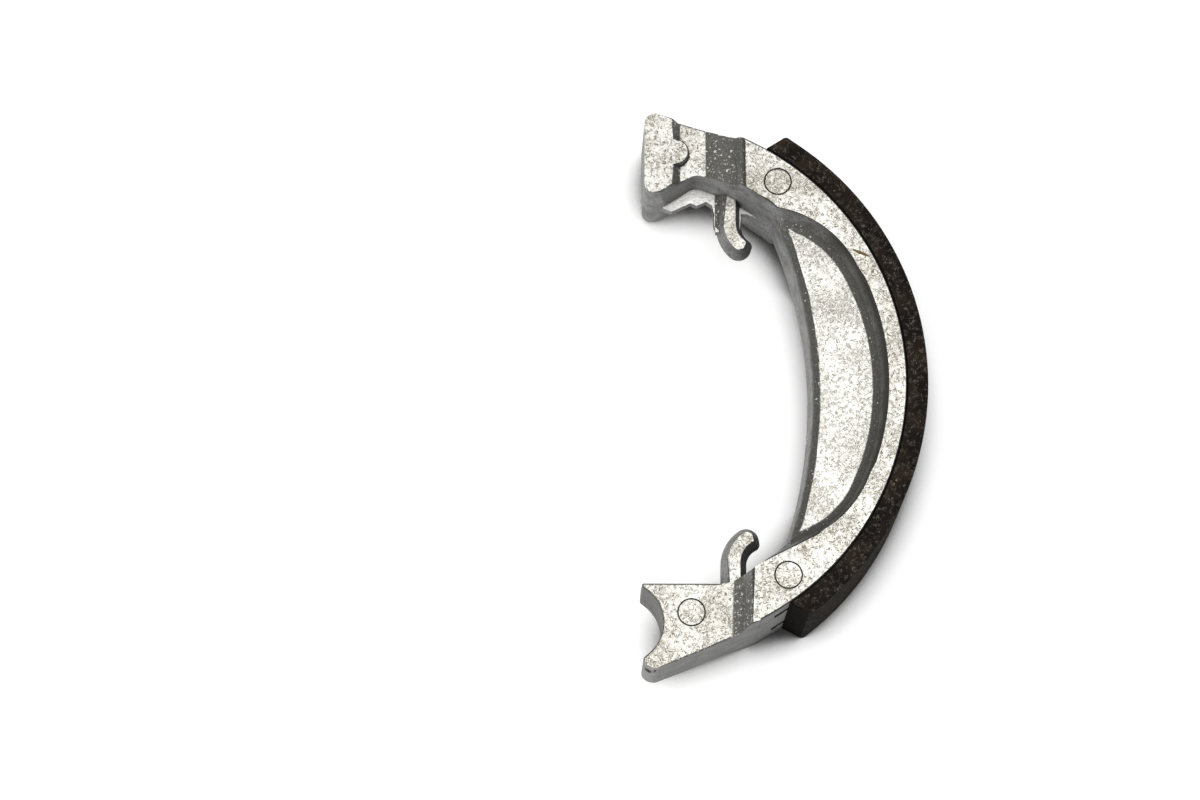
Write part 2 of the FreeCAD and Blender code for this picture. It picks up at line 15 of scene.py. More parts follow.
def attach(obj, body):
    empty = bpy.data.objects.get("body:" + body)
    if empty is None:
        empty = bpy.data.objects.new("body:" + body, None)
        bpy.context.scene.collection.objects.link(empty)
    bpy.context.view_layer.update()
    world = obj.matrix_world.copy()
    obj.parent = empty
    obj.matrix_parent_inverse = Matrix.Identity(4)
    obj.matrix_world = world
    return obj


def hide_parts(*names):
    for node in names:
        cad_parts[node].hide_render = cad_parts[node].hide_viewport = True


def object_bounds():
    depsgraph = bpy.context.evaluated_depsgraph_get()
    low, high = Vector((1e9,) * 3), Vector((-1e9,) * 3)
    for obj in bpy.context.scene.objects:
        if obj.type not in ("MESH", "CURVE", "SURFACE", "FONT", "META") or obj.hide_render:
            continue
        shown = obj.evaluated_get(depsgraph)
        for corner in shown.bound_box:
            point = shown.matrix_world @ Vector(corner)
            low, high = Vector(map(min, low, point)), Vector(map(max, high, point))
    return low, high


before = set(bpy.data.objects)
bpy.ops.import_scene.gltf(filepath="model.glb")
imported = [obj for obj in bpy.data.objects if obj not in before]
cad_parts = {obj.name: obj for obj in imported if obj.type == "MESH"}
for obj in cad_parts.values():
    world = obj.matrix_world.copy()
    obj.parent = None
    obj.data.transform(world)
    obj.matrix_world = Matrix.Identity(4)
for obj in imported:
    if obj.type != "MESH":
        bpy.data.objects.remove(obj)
cad_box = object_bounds()
MM = 0.001
box_mm = [[round(value / MM, 2) for value in corner] for corner in cad_box]
print("solids:", sorted(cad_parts), "box in mm:", box_mm)

# %% [markdown]
# ## The camera first
# The view is almost straight down, through a long lens, so the walls that face the camera show as thin
# strips. A camera is easiest to set from what it looks at: a point on the floor, a distance and three angles.

# %% Camera
LOOK_AT = Vector((-33.75, 2.62, 0)) * MM
CAMERA_DISTANCE = 795.6 * MM
CAMERA_ELEVATION = math.radians(76.13)
CAMERA_TURN = math.radians(-4.24)
CAMERA_ROLL = math.radians(4.39)
LENS = 125.4

lens_data = bpy.data.cameras.new("long_lens")
lens_data.lens = LENS
camera = bpy.data.objects.new("camera", lens_data)
bpy.context.scene.collection.objects.link(camera)
level = Vector((math.sin(CAMERA_TURN), -math.cos(CAMERA_TURN), 0)) * math.cos(CAMERA_ELEVATION)
offset = CAMERA_DISTANCE * (level + Vector((0, 0, math.sin(CAMERA_ELEVATION))))
aim = (-offset).to_track_quat("-Z", "Y").to_matrix().to_4x4()
camera.matrix_world = Matrix.Translation(LOOK_AT + offset) @ aim @ Matrix.Rotation(CAMERA_ROLL, 4, "Z")
bpy.context.scene.camera = camera
print("camera at", [round(value, 3) for value in camera.matrix_world.translation])

# %% [markdown]
# ## Colours and nodes
# Colours are written as the hex values that a picture shows, and one function turns them to the linear
# numbers that Cycles works in. A second small function adds a shader node with its settings and links. It
# finds a socket by its name among those that the node's settings leave in use, which keeps each material
# short enough to read. A third measures how far a point is from one mark, such as a pit or a scratch.

# %% Helpers for materials
def linear(hex_value):
    """A colour as it looks on a screen, such as "8C8A84", as linear red, green, blue and alpha."""
    parts = [int(hex_value[at:at + 2], 16) / 255 for at in (0, 2, 4)]
    return [part / 12.92 if part <= 0.04045 else ((part + 0.055) / 1.055) ** 2.4 for part in parts] + [1.0]


def add_node(tree, kind, inputs=None, **settings):
    """A new node with its settings. An input is a value, or a node or an output that is linked to it."""
    node = tree.nodes.new(kind)
    for name, value in settings.items():
        setattr(node, name, value)
    in_use = [socket for socket in node.inputs if socket.enabled]
    for key, value in (inputs or {}).items():
        socket = in_use[key] if isinstance(key, int) else next(item for item in in_use if item.name == key)
        if isinstance(value, bpy.types.Node):
            value = next(item for item in value.outputs if item.enabled)
        if isinstance(value, bpy.types.NodeSocket):
            tree.links.new(value, socket)
        else:
            socket.default_value = value
    return node


def per_metre(size_mm):
    """The scale that gives a noise about one feature in this many millimetres."""
    return 1 / (size_mm * MM)


def new_material(name):
    """A material with a Principled shader, and the coordinates of the piece's own space."""
    material = bpy.data.materials.new(name)
    material.use_nodes = True
    tree = material.node_tree
    return material, tree, tree.nodes["Principled BSDF"], add_node(tree, "ShaderNodeTexCoord")


def spot(tree, place, centre_mm, half_sizes_mm, turn=0.0):
    """How far a point is from one mark on the surface: 0 at the mark's middle and 1 on its outline."""
    inputs = {"Vector": place, "Location": Vector(centre_mm) * MM, "Rotation": (0, 0, math.radians(turn)),
              "Scale": Vector(half_sizes_mm) * MM}
    inside = add_node(tree, "ShaderNodeMapping", inputs, vector_type="TEXTURE")
    return add_node(tree, "ShaderNodeVectorMath", {"Vector": inside}, operation="LENGTH")


print("mid grey as linear:", [round(value, 3) for value in linear("808080")])

# %% [markdown]
# ## Finish 1: die-cast aluminium
# The shoe is cast in a steel die. Its flat side faces lay against the die's polished halves and are bright.
# The ramps and rounded edges are dull and grainy, the walls smooth; their dark and mid grey are partly
# painted shade, for faces that lean away from the overhead lamp. All of that follows from how far a face
# leans from the flat, so the material measures that angle and picks the skin from it. A little noise on the
# angle makes the borders ragged.

# %% Cast aluminium: which skin goes where
FLAT_WITHIN, SLOPE_FROM = math.radians(7), math.radians(14)
SLOPE_WITHIN, WALL_FROM = math.radians(46), math.radians(80)
BORDER_RAG = math.radians(7)

cast_metal, tree, shader, where = new_material("die_cast_aluminium")
place = where.outputs["Object"]
position = add_node(tree, "ShaderNodeSeparateXYZ", {"Vector": place})
normal = add_node(tree, "ShaderNodeSeparateXYZ", {"Vector": where.outputs["Normal"]})
upright = add_node(tree, "ShaderNodeMath", {0: normal.outputs["Z"]}, operation="ABSOLUTE")
lean = add_node(tree, "ShaderNodeMath", {0: upright}, operation="ARCCOSINE")

border = add_node(tree, "ShaderNodeTexNoise", {"Vector": place, "Scale": per_metre(0.5), "Detail": 3.0})
ragged = add_node(tree, "ShaderNodeMath", {0: border, 1: BORDER_RAG, 2: lean}, operation="MULTIPLY_ADD")
is_flat = add_node(tree, "ShaderNodeMapRange",
                   {"Value": ragged, "From Min": SLOPE_FROM, "From Max": FLAT_WITHIN})
is_wall = add_node(tree, "ShaderNodeMapRange",
                   {"Value": lean, "From Min": SLOPE_WITHIN, "From Max": WALL_FROM},
                   interpolation_type="SMOOTHSTEP")
print("flat up to", round(math.degrees(FLAT_WITHIN)), "degrees, wall from", round(math.degrees(WALL_FROM)))

# %% [markdown]
# Height and place matter as well. The casting is the same on both of its sides, so a height is measured from
# the middle of its width, and one number picks the same face on both. The long waist of the shoe, between its
# two ends, gets darker slopes than the ends do.

# %% Cast aluminium: heights and places
MIDDLE_HEIGHT = 12.5 * MM
LEVEL_REACH = 0.1 * MM
PAD_TOP, CAM_ARM_TOP, WEB_TOP, GATE_TOP = 10 * MM, 8.1 * MM, 7.5 * MM, 1.1 * MM
WAIST_WITHIN, ENDS_FROM = 27 * MM, 33 * MM

height = add_node(tree, "ShaderNodeMath", {0: position.outputs["Z"], 1: MIDDLE_HEIGHT}, operation="SUBTRACT")
height = add_node(tree, "ShaderNodeMath", {0: height}, operation="ABSOLUTE")
from_waist = add_node(tree, "ShaderNodeMath", {0: position.outputs["Y"]}, operation="ABSOLUTE")
at_ends = add_node(tree, "ShaderNodeMapRange",
                   {"Value": from_waist, "From Min": WAIST_WITHIN, "From Max": ENDS_FROM})
at_waist = add_node(tree, "ShaderNodeMath", {0: 1.0, 1: at_ends}, operation="SUBTRACT")
print("web top at", WEB_TOP / MM, "mm, pad top at", PAD_TOP / MM, "mm from the middle")

# %% [markdown]
# Where the melt chilled on the die, the flats have dark specks. They are thin curls about a quarter of a
# millimetre wide. A noise has level lines like those of a map, and its level lines curl. A ping-pong of the
# noise is small along each line, and a second noise breaks the lines into short worms. A third, slow noise
# makes some places crowded and leaves others clean.

# %% Cast aluminium: worm-like specks
curls = add_node(tree, "ShaderNodeTexNoise",
                 {"Vector": place, "Scale": per_metre(1.3), "Detail": 2.0, "Roughness": 0.5,
                  "Distortion": 0.7})
level_lines = add_node(tree, "ShaderNodeMath", {0: curls, 1: 0.06}, operation="PINGPONG")
worms = add_node(tree, "ShaderNodeMapRange", {"Value": level_lines, "From Min": 0.034, "From Max": 0.006})
cloud = add_node(tree, "ShaderNodeTexNoise", {"Vector": place, "Scale": per_metre(6.0), "Detail": 2.0})
breaks = add_node(tree, "ShaderNodeTexNoise", {"Vector": place, "Scale": per_metre(0.8), "Detail": 1.0})
crowd = add_node(tree, "ShaderNodeMath", {0: cloud, 1: 0.45, 2: breaks}, operation="MULTIPLY_ADD")
kept = add_node(tree, "ShaderNodeMapRange", {"Value": crowd, "From Min": 0.62, "From Max": 0.76})
specks = add_node(tree, "ShaderNodeMath", {0: worms, 1: kept}, operation="MULTIPLY")
print("cast metal nodes with the specks:", len(tree.nodes))

# %% [markdown]
# Under the specks lies a paler mottle of half a millimetre, and a few wide tan stains. The web and the broken
# gate are painted paler than the rim and the arms, as painted light, and their heights pick them out.

# %% Cast aluminium: the bright flats
stains = add_node(tree, "ShaderNodeTexNoise",
                  {"Vector": place, "Scale": per_metre(9.0), "Detail": 5.0, "Roughness": 0.7})
stained = add_node(tree, "ShaderNodeMapRange",
                   {"Value": stains, "From Min": 0.52, "From Max": 0.78, "To Max": 0.35})
mottle = add_node(tree, "ShaderNodeTexNoise",
                  {"Vector": place, "Scale": per_metre(0.55), "Detail": 3.0, "Roughness": 0.6,
                   "Distortion": 0.8})
mottled = add_node(tree, "ShaderNodeMath", {0: cloud, 1: 0.35, 2: mottle}, operation="MULTIPLY_ADD")
mottled = add_node(tree, "ShaderNodeMapRange", {"Value": mottled, "From Min": 0.53, "From Max": 0.82})
flat = add_node(tree, "ShaderNodeMix", {"Factor": mottled, "A": linear("E9E7E2"), "B": linear("B5B2A9")},
                data_type="RGBA")
flat = add_node(tree, "ShaderNodeMix", {"Factor": stained, "A": flat, "B": linear("A89F8C")},
                data_type="RGBA")
flat = add_node(tree, "ShaderNodeMix", {"Factor": specks, "A": flat, "B": linear("6E6656")},
                data_type="RGBA")

# The web and the gate are painted paler here: painted light.
on_gate = add_node(tree, "ShaderNodeMath", {0: height, 1: GATE_TOP, 2: LEVEL_REACH}, operation="COMPARE")
on_web = add_node(tree, "ShaderNodeMath", {0: height, 1: WEB_TOP, 2: LEVEL_REACH}, operation="COMPARE")
painted_light_on_web_and_gate = add_node(tree, "ShaderNodeMath", {0: on_web, 1: 0.2, 2: on_gate}, operation="MULTIPLY_ADD")
painted_light_on_web_and_gate = add_node(tree, "ShaderNodeMath", {0: painted_light_on_web_and_gate, 1: 0.7}, operation="MULTIPLY")
flat = add_node(tree, "ShaderNodeMix", {"Factor": painted_light_on_web_and_gate, "A": flat, "B": linear("F4F3F1")},
                data_type="RGBA")
print("cast metal nodes with the flats:", len(tree.nodes))

# %% [markdown]
# The ramps and edges are dull and grainy, with a grain of a third of a millimetre and bright flecks that are
# painted glints, as if high points of the grain caught the lamp. At the waist they are darker and have fewer
# glints: less is added to the glints' noise there, so less of it passes the same threshold.

# %% Cast aluminium: dull slopes with painted glints
grit = add_node(tree, "ShaderNodeTexNoise",
                {"Vector": place, "Scale": per_metre(0.35), "Detail": 3.0, "Roughness": 0.6})
grain = add_node(tree, "ShaderNodeMapRange", {"Value": grit, "From Min": 0.35, "From Max": 0.65})
# The slopes' dark grey is partly painted shade, for faces that lean away from the overhead lamp.
slope = add_node(tree, "ShaderNodeMix", {"Factor": grain, "A": linear("55544F"), "B": linear("6E6D67")},
                 data_type="RGBA")
waist = add_node(tree, "ShaderNodeMix", {"Factor": grain, "A": linear("44433F"), "B": linear("5A5954")},
                 data_type="RGBA")
slope = add_node(tree, "ShaderNodeMix", {"Factor": at_ends, "A": waist, "B": slope}, data_type="RGBA")
dots = add_node(tree, "ShaderNodeTexNoise",
                {"Vector": place, "Scale": per_metre(0.42), "Detail": 1.0, "Distortion": 0.8})
dots = add_node(tree, "ShaderNodeMath", {0: at_ends, 1: 0.07, 2: dots}, operation="MULTIPLY_ADD")
# The bright flecks are painted glints.
painted_glints = add_node(tree, "ShaderNodeMapRange", {"Value": dots, "From Min": 0.71, "From Max": 0.76})
slope = add_node(tree, "ShaderNodeMix", {"Factor": painted_glints, "A": slope, "B": linear("E0DED8")},
                 data_type="RGBA")
print("cast metal nodes with the slopes:", len(tree.nodes))

# %% [markdown]
# The walls slid out of the die and are blotchy, peppered with small dark pores; their mid grey is partly
# painted shade. The round seat in the fork is burnished brown by the pin that it turns on. The walls that
# face +X, away from the side lamp, are painted darker still: painted shade, which follows the way a wall
# faces.

# %% Cast aluminium: grey walls
SEAT_CENTRE_MM, SEAT_RADIUS_MM = (-30.0, -44.25, 12.5), 7.45

blotches = add_node(tree, "ShaderNodeTexNoise", {"Vector": place, "Scale": per_metre(3.5), "Detail": 3.0})
tone = add_node(tree, "ShaderNodeMath", {0: blotches, 1: grit}, operation="ADD")
tone = add_node(tree, "ShaderNodeMapRange", {"Value": tone, "From Min": 0.80, "From Max": 1.20})
# The walls' mid grey is partly painted shade, for faces that lean away from the overhead lamp.
wall = add_node(tree, "ShaderNodeMix", {"Factor": tone, "A": linear("626260"), "B": linear("929290")},
                data_type="RGBA")
peppered = add_node(tree, "ShaderNodeMapRange",
                    {"Value": breaks, "From Min": 0.60, "From Max": 0.68, "To Max": 0.5})
wall = add_node(tree, "ShaderNodeMix", {"Factor": peppered, "A": wall, "B": linear("42413F")},
                data_type="RGBA")
seat = spot(tree, place, SEAT_CENTRE_MM, (SEAT_RADIUS_MM, SEAT_RADIUS_MM, 30))
worn = add_node(tree, "ShaderNodeMapRange",
                {"Value": seat, "From Min": 1.08, "From Max": 1.04, "To Max": 0.65})
wall = add_node(tree, "ShaderNodeMix", {"Factor": worn, "A": wall, "B": linear("35332F")},
                data_type="RGBA")
# Walls that face +X, away from the side lamp, are painted darker: painted shade.
painted_side_shade = add_node(tree, "ShaderNodeMapRange",
                   {"Value": normal.outputs["X"], "From Min": -0.1, "From Max": 0.35, "To Max": 0.55})
wall = add_node(tree, "ShaderNodeMix", {"Factor": painted_side_shade, "A": wall, "B": linear("484846")},
                data_type="RGBA")
print("cast metal nodes with the walls:", len(tree.nodes))

# %% [markdown]
# Now the three skins are put together. The recess wall at the waist is painted darker towards the rim's side
# face, as painted shade. That face ends in a thin dark line all round, its rounded edge, so a band of heights
# just under it is painted darker too, also as painted shade.

# %% Cast aluminium: the skins together
RECESS_FOOT, RECESS_TOP = 7.4 * MM, 11.5 * MM
EDGE_FOOT, EDGE_TOP = 11.9 * MM, 12.3 * MM

skin = add_node(tree, "ShaderNodeMix", {"Factor": is_wall, "A": slope, "B": wall}, data_type="RGBA")
# The recess wall at the waist is painted darker: painted shade.
painted_recess_shade = add_node(tree, "ShaderNodeMapRange",
                     {"Value": height, "From Min": RECESS_FOOT, "From Max": RECESS_TOP})
painted_recess_shade = add_node(tree, "ShaderNodeMath", {0: painted_recess_shade, 1: at_waist}, operation="MULTIPLY")
skin = add_node(tree, "ShaderNodeMix", {"Factor": painted_recess_shade, "A": skin, "B": linear("2A2824")},
                data_type="RGBA")
# A band just under the rim's side face is painted darker: painted shade of its rounded edge.
painted_edge_shade = add_node(tree, "ShaderNodeMapRange",
                   {"Value": height, "From Min": EDGE_FOOT, "From Max": EDGE_TOP, "To Max": 0.8})
skin = add_node(tree, "ShaderNodeMix", {"Factor": painted_edge_shade, "A": skin, "B": linear("2E2D2A")},
                data_type="RGBA")
skin = add_node(tree, "ShaderNodeMix", {"Factor": is_flat, "A": skin, "B": flat}, data_type="RGBA")
print("cast metal nodes with the skins together:", len(tree.nodes))

# %% [markdown]
# Every inner corner is painted darker as painted shade, where the Ambient Occlusion node finds that little
# light gets there. The same painted shade fills the thin rings that the ejector pins left in the rim and the
# fork, so their floors are picked by their height. One more pin left a round mark on the pad that bulges over
# the arm. It has no groove round it, only a dark outline of painted shade, so that outline is a narrow band
# at the mark's radius.

# %% Cast aluminium: painted shade in corners and rings
CORNER_REACH = 0.7 * MM
RIM_RING_FLOOR, FORK_RING_FLOOR = 12.2 * MM, 7.7 * MM
PIN_MARK_MM, PIN_MARK_RADIUS_MM = (-19.95, 45.16, 20.6), 2.4
PAD_STARTS_AT = -20.0 * MM

# Corners, ring floors and the pin's outline are painted darker: painted shade.
corners = add_node(tree, "ShaderNodeAmbientOcclusion", {"Distance": CORNER_REACH}, samples=6, only_local=True)
painted_crease_shade = add_node(tree, "ShaderNodeMapRange",
                 {"Value": corners.outputs["AO"], "From Min": 0.80, "From Max": 0.45, "To Max": 0.85})

in_rings = [add_node(tree, "ShaderNodeMath", {0: height, 1: ring_floor, 2: LEVEL_REACH}, operation="COMPARE")
            for ring_floor in (RIM_RING_FLOOR, FORK_RING_FLOOR)]
painted_ring_shade = add_node(tree, "ShaderNodeMath", {0: in_rings[0], 1: in_rings[1]}, operation="ADD")
painted_ring_shade = add_node(tree, "ShaderNodeMath", {0: painted_ring_shade, 1: is_flat}, operation="MULTIPLY")

pin = spot(tree, place, PIN_MARK_MM, (PIN_MARK_RADIUS_MM, PIN_MARK_RADIUS_MM, 12))
beside_pin = add_node(tree, "ShaderNodeMath", {0: pin, 1: 1.05, 2: 0.06}, operation="COMPARE")
on_arm = add_node(tree, "ShaderNodeMath", {0: height, 1: CAM_ARM_TOP, 2: LEVEL_REACH}, operation="COMPARE")
beside_pin = add_node(tree, "ShaderNodeMath", {0: beside_pin, 1: on_arm}, operation="MULTIPLY")
painted_ring_shade = add_node(tree, "ShaderNodeMath", {0: painted_ring_shade, 1: beside_pin}, operation="MAXIMUM")

pin_rim = add_node(tree, "ShaderNodeMath", {0: pin, 1: 0.97, 2: 0.04}, operation="COMPARE")
past_step = add_node(tree, "ShaderNodeMath", {0: position.outputs["X"], 1: PAD_STARTS_AT},
                     operation="GREATER_THAN")
on_pad = add_node(tree, "ShaderNodeMath", {0: height, 1: PAD_TOP, 2: LEVEL_REACH}, operation="COMPARE")
on_pad = add_node(tree, "ShaderNodeMath", {0: on_pad, 1: past_step}, operation="MULTIPLY")
pin_rim = add_node(tree, "ShaderNodeMath", {0: pin_rim, 1: on_pad}, operation="MULTIPLY")
painted_ring_shade = add_node(tree, "ShaderNodeMath", {0: painted_ring_shade, 1: pin_rim}, operation="MAXIMUM")

painted_crease_shade = add_node(tree, "ShaderNodeMath", {0: painted_crease_shade, 1: painted_ring_shade}, operation="MAXIMUM")
skin = add_node(tree, "ShaderNodeMix", {"Factor": painted_crease_shade, "A": skin, "B": linear("3A3833")},
                data_type="RGBA")
print("cast metal nodes with the painted_shade:", len(tree.nodes))

# %% [markdown]
# Two casting pits in the nose and the mouths of the two keying grooves, beside the lining's lower end, are
# painted black as painted shade, since light goes in and hardly comes out, and the specular tint takes their
# reflection too. The last mark is a brown scratch on the rim's side face, with an outline that the border's
# noise frays.

# %% Cast aluminium: pits, groove mouths and a scratch
PITS_MM = [((-25.2, -52.3, 15.4), (0.75, 0.8, 1.6)),
           ((-23.95, -52.6, 17.1), (0.27, 0.8, 1.1))]
GROOVE_MOUTH_MM, MOUTH_REACH_MM = (-1.2, -41.8, 12.5), 3.5
GROOVE_OFFSET, GROOVE_HALF_WIDTH = 6.3 * MM, 1.35 * MM
DRUM_AXIS_MM, RIM_RADIUS_MM = (-28.55, 0.75, 12.5), 51.1
SCRATCH_MM, SCRATCH_HALF_SIZES_MM, SCRATCH_TURN = (14.15, 24.96, 25.0), (2.3, 0.34, 0.4), -22.9

pits = [spot(tree, place, centre, half_sizes) for centre, half_sizes in PITS_MM]
pit = add_node(tree, "ShaderNodeMath", {0: pits[0], 1: pits[1]}, operation="MINIMUM")
pit = add_node(tree, "ShaderNodeMapRange", {"Value": pit, "From Min": 1.0, "From Max": 0.75})

at_mouth = spot(tree, place, GROOVE_MOUTH_MM, (MOUTH_REACH_MM, MOUTH_REACH_MM, 20))
at_mouth = add_node(tree, "ShaderNodeMath", {0: at_mouth, 1: 1.0}, operation="LESS_THAN")
in_band = add_node(tree, "ShaderNodeMath", {0: height, 1: GROOVE_OFFSET, 2: GROOVE_HALF_WIDTH},
                   operation="COMPARE")
below_rim = spot(tree, place, DRUM_AXIS_MM, (RIM_RADIUS_MM, RIM_RADIUS_MM, 1000))
below_rim = add_node(tree, "ShaderNodeMath", {0: below_rim, 1: 0.998}, operation="LESS_THAN")
groove_mouth_shade = add_node(tree, "ShaderNodeMath", {0: at_mouth, 1: in_band}, operation="MULTIPLY")
groove_mouth_shade = add_node(tree, "ShaderNodeMath", {0: groove_mouth_shade, 1: below_rim}, operation="MULTIPLY")

# The pits and groove mouths are painted black: painted shade.
painted_hole_shade = add_node(tree, "ShaderNodeMath", {0: pit, 1: groove_mouth_shade}, operation="MAXIMUM")
skin = add_node(tree, "ShaderNodeMix", {"Factor": painted_hole_shade, "A": skin, "B": linear("161412")},
                data_type="RGBA")
tint = add_node(tree, "ShaderNodeMix", {"Factor": painted_hole_shade, "A": linear("FFFFFF"), "B": linear("000000")},
                data_type="RGBA")

scratch = spot(tree, place, SCRATCH_MM, SCRATCH_HALF_SIZES_MM, turn=SCRATCH_TURN)
scratch = add_node(tree, "ShaderNodeMath", {0: border, 1: 0.9, 2: scratch}, operation="MULTIPLY_ADD")
scratch = add_node(tree, "ShaderNodeMapRange", {"Value": scratch, "From Min": 1.4, "From Max": 1.1})
skin = add_node(tree, "ShaderNodeMix", {"Factor": scratch, "A": skin, "B": linear("5E5038")},
                data_type="RGBA")
print("cast metal nodes with the marks:", len(tree.nodes))

# %% [markdown]
# The finish follows the same skins. A bright flat is bare metal and fairly smooth. The slopes and walls carry
# a skin of oxide, so they are only partly metallic and rougher. The specks and pits are sunk by a bump.

# %% Cast aluminium: finish
tree.links.new(skin.outputs[2], shader.inputs["Base Color"])
tree.links.new(tint.outputs[2], shader.inputs["Specular Tint"])
bare = add_node(tree, "ShaderNodeMapRange", {"Value": is_flat, "To Min": 0.45, "To Max": 1.0})
tree.links.new(bare.outputs["Result"], shader.inputs["Metallic"])
gloss = add_node(tree, "ShaderNodeMapRange", {"Value": is_flat, "To Min": 0.55, "To Max": 0.36})
tree.links.new(gloss.outputs["Result"], shader.inputs["Roughness"])
relief = add_node(tree, "ShaderNodeMath", {0: specks, 1: -0.5, 2: grit}, operation="MULTIPLY_ADD")
relief = add_node(tree, "ShaderNodeMath", {0: pit, 1: -6.0, 2: relief}, operation="MULTIPLY_ADD")
bump = add_node(tree, "ShaderNodeBump", {"Height": relief, "Strength": 0.6, "Distance": 0.05 * MM})
tree.links.new(bump.outputs["Normal"], shader.inputs["Normal"])
print("cast metal nodes in all:", len(tree.nodes))

# %% [markdown]
# ## Finish 2: moulded friction lining
# Lining is a hot-pressed mix of fibres, resin and metal dust. It is nearly black with brown patches, dull,
# and full of short pale fibres that swirl where the mix flowed. The fibres are drawn in the same way as the
# worms. The curved wall of the strip is darker than its flat sides. Its two ends, which face away from the
# side
# lamp, are painted nearly black: painted shade.

# %% Friction lining: the mix
friction_mix, tree, shader, where = new_material("moulded_friction_lining")
place = where.outputs["Object"]
normal = add_node(tree, "ShaderNodeSeparateXYZ", {"Vector": where.outputs["Normal"]})
patches = add_node(tree, "ShaderNodeTexNoise", {"Vector": place, "Scale": per_metre(4.0), "Detail": 4.0})
patchy = add_node(tree, "ShaderNodeMapRange", {"Value": patches, "From Min": 0.40, "From Max": 0.65})
mix = add_node(tree, "ShaderNodeMix", {"Factor": patchy, "A": linear("1D1A17"), "B": linear("2F2721")},
               data_type="RGBA")

swirls = add_node(tree, "ShaderNodeTexNoise",
                  {"Vector": place, "Scale": per_metre(1.6), "Detail": 2.0, "Distortion": 1.4})
level_lines = add_node(tree, "ShaderNodeMath", {0: swirls, 1: 0.05}, operation="PINGPONG")
fibres = add_node(tree, "ShaderNodeMapRange", {"Value": level_lines, "From Min": 0.026, "From Max": 0.008})
breaks = add_node(tree, "ShaderNodeTexNoise", {"Vector": place, "Scale": per_metre(0.9), "Detail": 2.0})
kept = add_node(tree, "ShaderNodeMapRange",
                {"Value": breaks, "From Min": 0.50, "From Max": 0.62, "To Max": 0.8})
fibres = add_node(tree, "ShaderNodeMath", {0: fibres, 1: kept}, operation="MULTIPLY")
mix = add_node(tree, "ShaderNodeMix", {"Factor": fibres, "A": mix, "B": linear("6A655D")},
               data_type="RGBA")
dust = add_node(tree, "ShaderNodeTexNoise", {"Vector": place, "Scale": per_metre(0.4), "Detail": 1.0})
dusty = add_node(tree, "ShaderNodeMapRange", {"Value": dust, "From Min": 0.73, "From Max": 0.77})
mix = add_node(tree, "ShaderNodeMix", {"Factor": dusty, "A": mix, "B": linear("7A7162")},
               data_type="RGBA")
print("lining nodes with fibres and dust:", len(tree.nodes))

# %% Friction lining: darker walls, painted shade on the ends, and finish
upright = add_node(tree, "ShaderNodeMath", {0: normal.outputs["Z"]}, operation="ABSOLUTE")
on_wall = add_node(tree, "ShaderNodeMapRange",
                   {"Value": upright, "From Min": 0.8, "From Max": 0.3, "To Max": 0.3})
# Faces that look towards -X, the lining's two ends, are painted nearly black: painted shade.
painted_end_shade = add_node(tree, "ShaderNodeMapRange",
                  {"Value": normal.outputs["X"], "From Min": 0.0, "From Max": -0.3})
darker = add_node(tree, "ShaderNodeMath", {0: on_wall, 1: painted_end_shade}, operation="MAXIMUM")
mix = add_node(tree, "ShaderNodeMix", {"Factor": darker, "A": mix, "B": linear("12100E")},
               data_type="RGBA")
tree.links.new(mix.outputs[2], shader.inputs["Base Color"])
shader.inputs["Roughness"].default_value = 0.8
shader.inputs["Specular IOR Level"].default_value = 0.02
relief = add_node(tree, "ShaderNodeMath", {0: dust, 1: fibres}, operation="ADD")
bump = add_node(tree, "ShaderNodeBump", {"Height": relief, "Strength": 0.7, "Distance": 0.12 * MM})
tree.links.new(bump.outputs["Normal"], shader.inputs["Normal"])
print("lining nodes in all:", len(tree.nodes))

# %% [markdown]
# ## Softer edges
# A solid from CAD has knife edges, and no casting has them. The mesh is copied, its loose triangles are
# joined, the needless edges on flat faces are dissolved, and the sharp ones are bevelled. The tops of the
# ramps are rounded first and wider, because on the real shoe the bright face fades softly into the ramp. An
# edge beside a face that is too narrow for the bevel stays as it is, and so do the edges of the slim hooks.
# These small questions about an edge are functions, so that the making of a piece reads as plain steps.

# %% Questions about an edge
JOIN = 0.001 * MM
FLATNESS = math.radians(0.5)
SHARP_ANGLE = math.radians(28)
SHADE_APART = math.radians(50)
CREASE_ANGLE = math.radians(8)
CREASE_WIDTH = 1.5 * MM
BEVEL_ROOM = 2.2
LEVEL = 0.9999
HOOK_HALF_HEIGHT = 3.6 * MM
RAMP_TOP_LENGTH = 4 * MM
RAMP_TOP_SKEW = 0.2 * MM
RAMP_ROUND = 0.8 * MM
STEEPEST_RAMP, GENTLEST_RAMP = 0.2, 0.95
RAMP_LEANS_OUT = -0.3


def narrowest(edge):
    """How wide the narrower face beside an edge is, measured across the edge."""
    return min(face.calc_area() / max(side.calc_length() for side in face.edges) for face in edge.link_faces)


def is_crease(edge):
    """Whether an edge between two broad faces turns too far to be part of a curved wall."""
    return edge.calc_face_angle() > CREASE_ANGLE and narrowest(edge) > CREASE_WIDTH


def is_on_hook(edge):
    """Whether an edge lies between the heights of the hooks' flat tops, which are too slim for the bevel."""
    return all(abs(corner.co.z - MIDDLE_HEIGHT) < HOOK_HALF_HEIGHT for corner in edge.verts)


def is_ramp_top(edge):
    """Whether an edge is the straight upper border of a ramp, where it meets the rim's side face."""
    if not edge.is_manifold or edge.calc_length() < RAMP_TOP_LENGTH:
        return False
    tilts = sorted(abs(face.normal.z) for face in edge.link_faces)
    leans_out = min(face.normal.x for face in edge.link_faces) < RAMP_LEANS_OUT
    along_y = abs(edge.verts[0].co.x - edge.verts[1].co.x) < RAMP_TOP_SKEW
    return tilts[1] > LEVEL and STEEPEST_RAMP < tilts[0] < GENTLEST_RAMP and leans_out and along_y


print("an edge is rounded past", round(math.degrees(SHARP_ANGLE)), "degrees")

# %% [markdown]
# Each piece takes the place of its CAD node in the picture, and keeps its size. The bevels are shaded smooth
# but end in a sharp line on the flat faces, and normals that are weighted by area keep those faces even.

